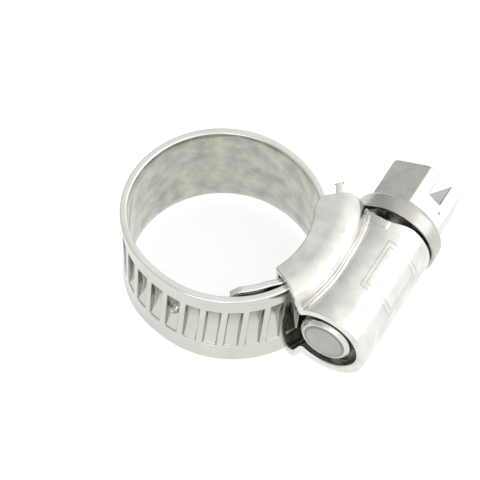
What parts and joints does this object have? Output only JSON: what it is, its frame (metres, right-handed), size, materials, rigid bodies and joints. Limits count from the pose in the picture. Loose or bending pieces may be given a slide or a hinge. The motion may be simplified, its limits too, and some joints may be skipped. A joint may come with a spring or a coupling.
{
  "type": "hose clamp",
  "caption": "Worm-drive hose clamp with a slotted hex-head screw, one-piece housing and a corrugated steel strip band for small hoses.",
  "frame": {"origin": "centre of the hose bore, half way across the band's width", "axes": "+Z along the hose, +X from the hose's centre to the screw, +Y towards the screw's head"},
  "size_m": [0.0275, 0.0241, 0.0114],
  "materials": {
    "band_steel": "polished stainless strip",
    "housing_steel": "satin stainless pressing",
    "screw_steel": "bright turned and rolled steel"
  },
  "bodies": {
    "housing_and_end": {"housing": "housing_steel", "band_fixed_end": "band_steel"},
    "worm_screw": {"worm_screw": "screw_steel"},
    "band_tail": {"band_tail": "band_steel"},
    "band_link_01": {"band_link_01": "band_steel"},
    "band_link_02": {"band_link_02": "band_steel"},
    "band_link_03": {"band_link_03": "band_steel"},
    "band_link_04": {"band_link_04": "band_steel"},
    "band_link_05": {"band_link_05": "band_steel"},
    "band_link_06": {"band_link_06": "band_steel"},
    "band_link_07": {"band_link_07": "band_steel"},
    "band_link_08": {"band_link_08": "band_steel"},
    "band_link_09": {"band_link_09": "band_steel"}
  },
  "joints": [
    {"name": "screw_turn", "type": "hinge", "parent": "housing_and_end", "child": "worm_screw", "pos_m": [0.0136, 0, 0], "axis": [0, -1, 0], "range_deg": [-360, 1440]},
    {"name": "band_feed", "type": "hinge", "parent": "housing_and_end", "child": "band_tail", "pos_m": [0.00115, 0, 0], "axis": [0, 0, 1], "range_deg": [-12.01, 48.01]},
    {"name": "bend_09", "type": "hinge", "parent": "band_tail", "child": "band_link_09", "pos_m": [0.00004, -0.00903, 0], "axis": [0, 0, 1], "range_deg": [-4.51, 1.17]},
    {"name": "bend_08", "type": "hinge", "parent": "band_link_09", "child": "band_link_08", "pos_m": [-0.00343, -0.0081, 0], "axis": [0, 0, 1], "range_deg": [-13.11, 3.31]},
    {"name": "bend_07", "type": "hinge", "parent": "band_link_08", "child": "band_link_07", "pos_m": [-0.00728, -0.00495, 0], "axis": [0, 0, 1], "range_deg": [-2.45, 0.65]},
    {"name": "bend_06", "type": "hinge", "parent": "band_link_07", "child": "band_link_06", "pos_m": [-0.0088, -0.00021, 0], "axis": [0, 0, 1], "range_deg": [-2.45, 0.65]},
    {"name": "bend_05", "type": "hinge", "parent": "band_link_06", "child": "band_link_05", "pos_m": [-0.0075, 0.0046, 0], "axis": [0, 0, 1], "range_deg": [-2.45, 0.65]},
    {"name": "bend_04", "type": "hinge", "parent": "band_link_05", "child": "band_link_04", "pos_m": [-0.00381, 0.00793, 0], "axis": [0, 0, 1], "range_deg": [-2.45, 0.65]},
    {"name": "bend_03", "type": "hinge", "parent": "band_link_04", "child": "band_link_03", "pos_m": [0.0011, 0.00873, 0], "axis": [0, 0, 1], "range_deg": [-2.45, 0.65]},
    {"name": "bend_02", "type": "hinge", "parent": "band_link_03", "child": "band_link_02", "pos_m": [0.00304, 0.00829, 0], "axis": [0, 0, 1], "range_deg": [-6.34, 1.62]},
    {"name": "bend_01", "type": "hinge", "parent": "band_link_02", "child": "band_link_01", "pos_m": [0.00486, 0.0075, 0], "axis": [0, 0, 1], "range_deg": [-12.24, 3.1]}
  ],
  "couplings": [
    {"joint": "band_feed", "follows": "screw_turn", "ratio": 0.033333},
    {"joint": "bend_09", "follows": "screw_turn", "ratio": -0.0031},
    {"joint": "bend_08", "follows": "screw_turn", "ratio": -0.009067},
    {"joint": "bend_07", "follows": "screw_turn", "ratio": -0.001667},
    {"joint": "bend_06", "follows": "screw_turn", "ratio": -0.001667},
    {"joint": "bend_05", "follows": "screw_turn", "ratio": -0.001667},
    {"joint": "bend_04", "follows": "screw_turn", "ratio": -0.001667},
    {"joint": "bend_03", "follows": "screw_turn", "ratio": -0.001667},
    {"joint": "bend_02", "follows": "screw_turn", "ratio": -0.004367},
    {"joint": "bend_01", "follows": "screw_turn", "ratio": -0.008467}
  ]
}
